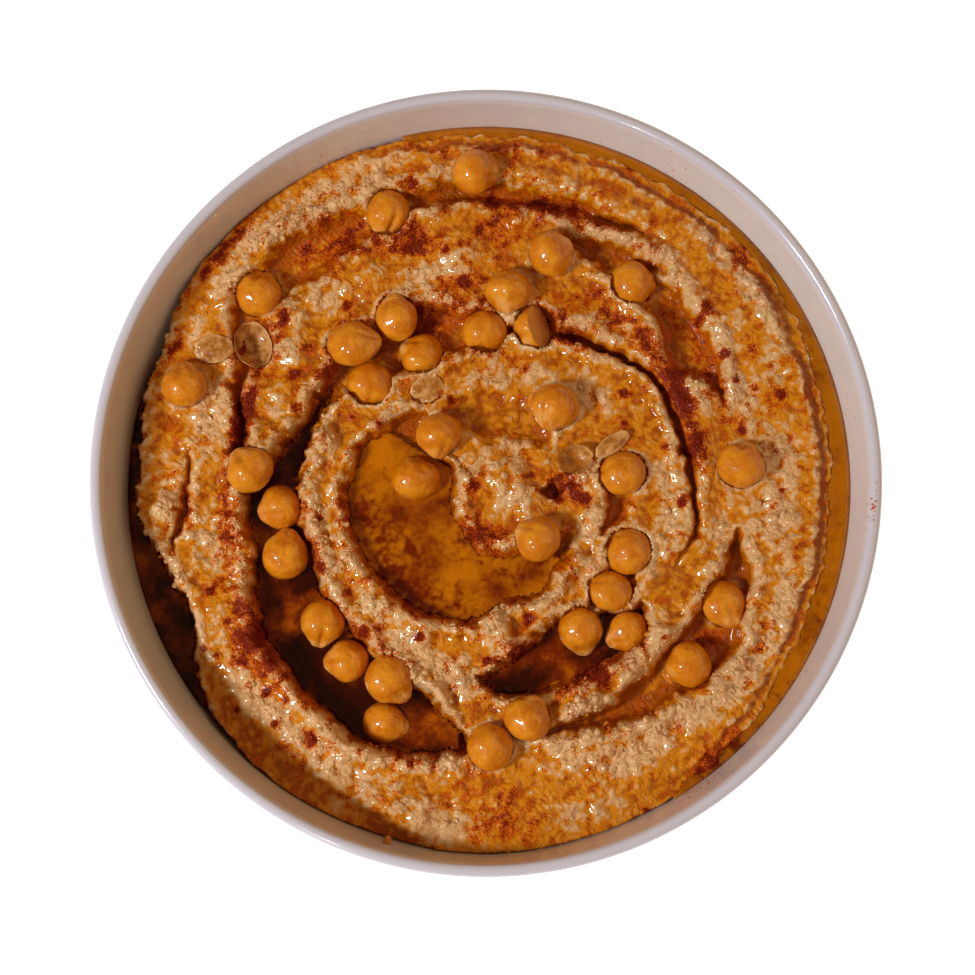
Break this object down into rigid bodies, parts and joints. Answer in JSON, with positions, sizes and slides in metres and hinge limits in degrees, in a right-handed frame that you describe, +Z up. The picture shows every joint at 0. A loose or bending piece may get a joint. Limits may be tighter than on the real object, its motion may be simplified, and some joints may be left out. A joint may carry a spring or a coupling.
{
  "type": "bowl of hummus with chickpeas",
  "caption": "Round white bowl filled with swirled hummus, topped with whole cooked chickpeas, loose chickpea skins and pools of spiced oil.",
  "frame": {"origin": "centre of the bowl's foot ring on the surface that it stands on", "axes": "+Z up out of the bowl, -Y towards the edge nearest to the viewer of the picture, +X to that viewer's right"},
  "size_m": [0.2, 0.2, 0.0499],
  "materials": {
    "white_glaze": "smooth white glaze on stoneware",
    "hummus_paste": "moist coarse beige paste, oiled and dusted with paprika",
    "spiced_oil": "clear red-brown oil",
    "cooked_chickpea": "oiled smooth tan skin",
    "loose_skin": "thin translucent skin"
  },
  "bodies": {
    "root": {"bowl": "white_glaze", "hummus": "hummus_paste", "oil_centre": "spiced_oil", "oil_crescent": "spiced_oil", "oil_lower": "spiced_oil", "oil_edge_right": "spiced_oil", "oil_edge_left": "spiced_oil", "chickpea_01": "cooked_chickpea", "chickpea_02": "cooked_chickpea", "chickpea_03": "cooked_chickpea", "chickpea_04": "cooked_chickpea", "chickpea_05": "cooked_chickpea", "chickpea_06": "cooked_chickpea", "chickpea_07": "cooked_chickpea", "chickpea_08": "cooked_chickpea", "chickpea_09": "cooked_chickpea", "chickpea_10": "cooked_chickpea", "chickpea_11": "cooked_chickpea", "chickpea_12": "cooked_chickpea", "chickpea_13": "cooked_chickpea", "chickpea_14": "cooked_chickpea", "chickpea_15": "cooked_chickpea", "chickpea_16": "cooked_chickpea", "chickpea_17": "cooked_chickpea", "chickpea_18": "cooked_chickpea", "chickpea_19": "cooked_chickpea", "chickpea_20": "cooked_chickpea", "chickpea_21": "cooked_chickpea", "chickpea_22": "cooked_chickpea", "chickpea_23": "cooked_chickpea", "chickpea_24": "cooked_chickpea", "chickpea_25": "cooked_chickpea", "chickpea_26": "cooked_chickpea", "chickpea_27": "cooked_chickpea", "chickpea_28": "cooked_chickpea", "chickpea_29": "cooked_chickpea", "chickpea_30": "cooked_chickpea", "chickpea_31": "cooked_chickpea", "chickpea_32": "cooked_chickpea", "chickpea_33": "cooked_chickpea", "chickpea_34": "cooked_chickpea", "skin_cup_left": "loose_skin", "skin_flat_left": "loose_skin", "skin_cup_right": "loose_skin", "skin_strip_right": "loose_skin", "skin_flat_top": "loose_skin"}
  },
  "joints": []
}
